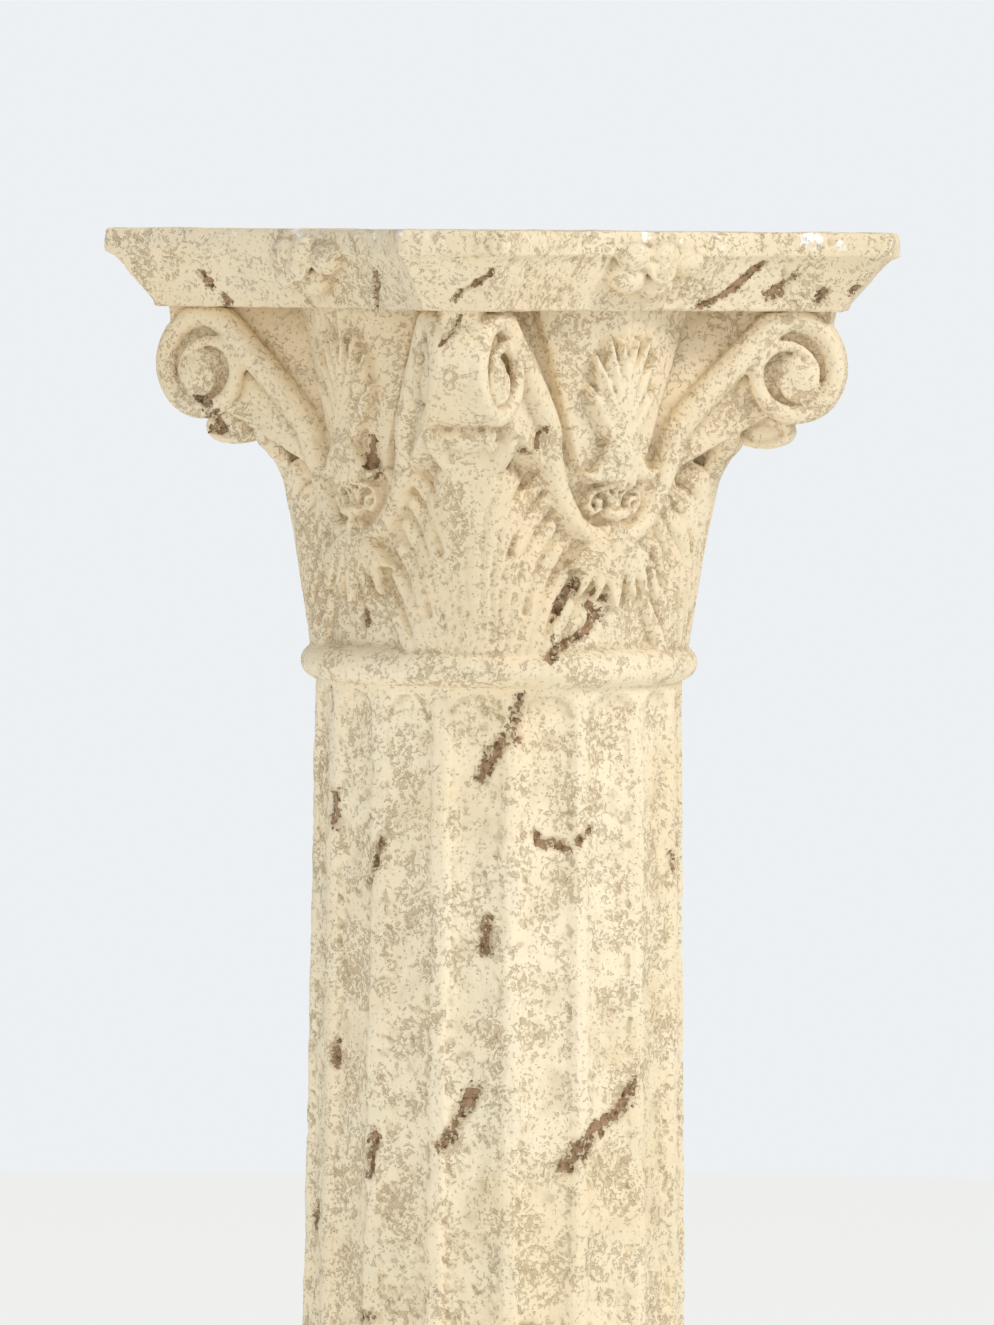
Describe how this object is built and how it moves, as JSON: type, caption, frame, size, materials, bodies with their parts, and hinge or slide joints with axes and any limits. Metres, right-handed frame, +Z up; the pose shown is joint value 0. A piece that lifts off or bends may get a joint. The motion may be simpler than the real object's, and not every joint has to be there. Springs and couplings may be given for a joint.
{
  "type": "corinthian column",
  "caption": "Display pedestal shaped as a short Corinthian column, with a leafy capital, corner volutes, fluted shaft and square moulded base.",
  "frame": {"origin": "middle of the underside of the base, on the surface the column stands on", "axes": "+Z up along the axis of the shaft, sides of the top slab and the plinth square to X and Y"},
  "size_m": [0.3286, 0.3286, 1],
  "materials": {
    "aged_cream": "matt cream paint over brown on cast resin, pitted and chipped to look like old travertine"
  },
  "bodies": {
    "root": {"column": "aged_cream"}
  },
  "joints": []
}
